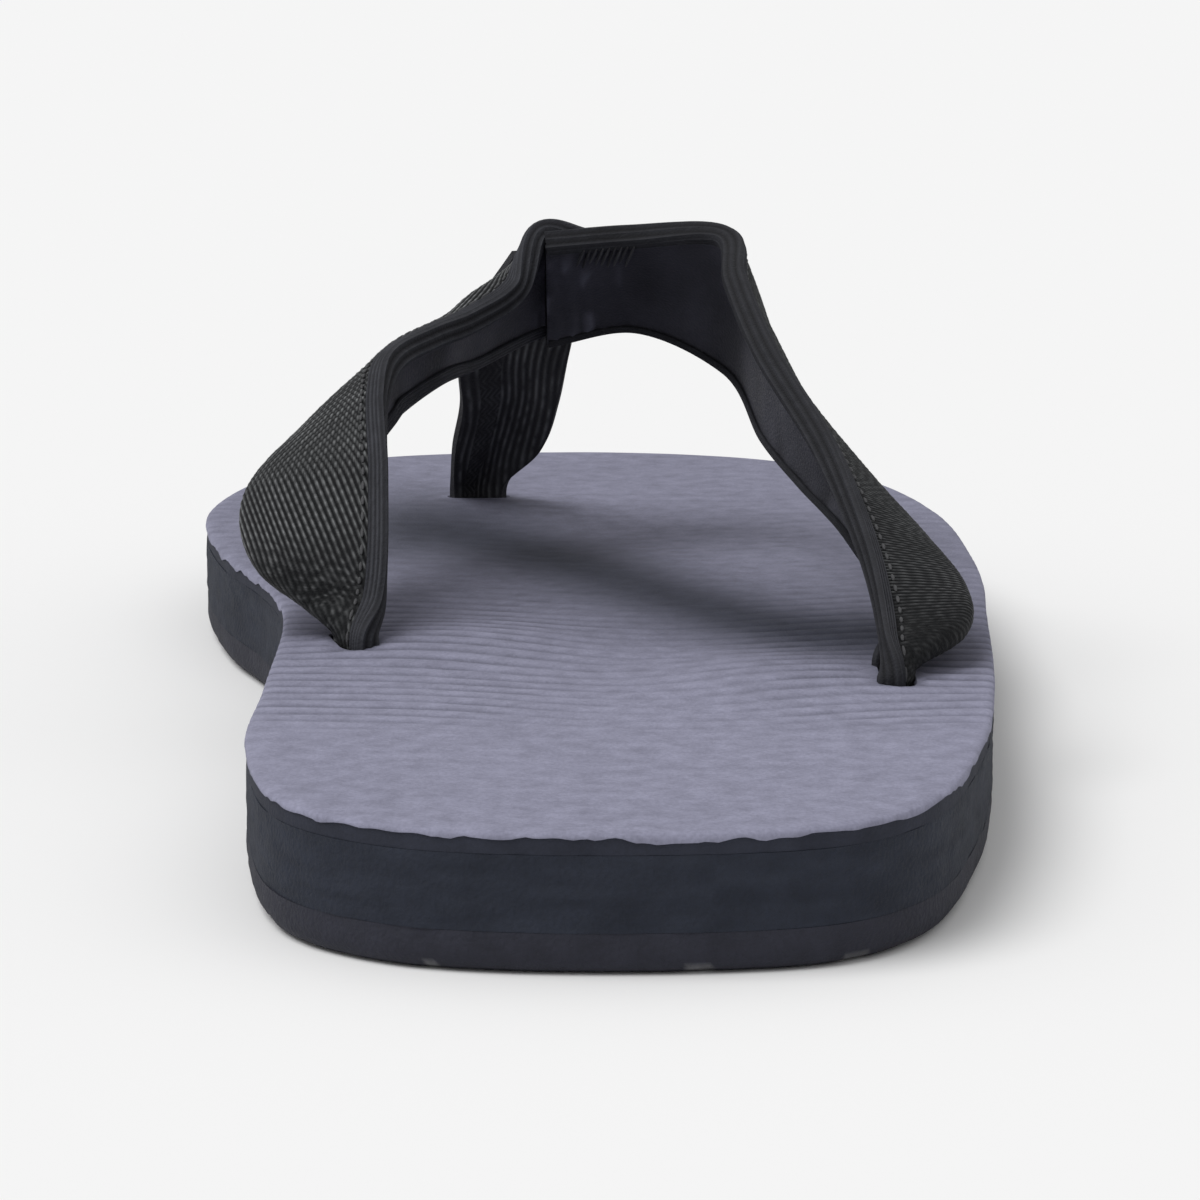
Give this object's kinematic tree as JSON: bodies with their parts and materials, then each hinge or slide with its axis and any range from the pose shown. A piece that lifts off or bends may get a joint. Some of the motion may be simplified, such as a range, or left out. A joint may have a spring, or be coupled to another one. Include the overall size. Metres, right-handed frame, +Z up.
{
  "type": "flip flop",
  "caption": "Right-foot flip flop: laminated foam sole, inlaid ribbed footbed, fabric Y strap of two lined arms and a webbing toe post anchored under the sole.",
  "frame": {"origin": "middle of the footprint, on the ground under the outsole", "axes": "+Y from the heel to the toe, +X to the outer (lateral) side of the right foot, +Z up"},
  "size_m": [0.1056, 0.2728, 0.0597],
  "materials": {
    "outsole_rubber": "matt, very dark purplish grey",
    "midsole_foam": "matt closed-cell foam, charcoal with a navy tint",
    "footbed_foam": "matt brushed foam, lavender grey, fine cross ribs",
    "plug_plastic": "moulded, hidden under the sole",
    "strap_webbing": "near-black diagonal twill webbing",
    "toe_post_webbing": "near-black webbing with lengthwise ribs",
    "strap_lining": "smooth close-woven lining, navy black",
    "edge_binding": "charcoal tape folded over the strap's edge",
    "thread": "dark grey polyester thread"
  },
  "bodies": {
    "root": {"outsole": "outsole_rubber", "midsole": "midsole_foam", "footbed_cover": "footbed_foam", "medial_anchor_plug": "plug_plastic", "lateral_anchor_plug": "plug_plastic", "toe_anchor_plug": "plug_plastic", "medial_strap_webbing": "strap_webbing", "lateral_strap_webbing": "strap_webbing", "toe_post_webbing": "toe_post_webbing", "medial_strap_lining": "strap_lining", "lateral_strap_lining": "strap_lining", "medial_rear_binding": "edge_binding", "medial_front_binding": "edge_binding", "lateral_rear_binding": "edge_binding", "lateral_front_binding": "edge_binding", "medial_rear_stitching": "thread", "medial_front_stitching": "thread", "lateral_rear_stitching": "thread", "lateral_front_stitching": "thread", "junction_bar_tack": "thread"}
  },
  "joints": []
}
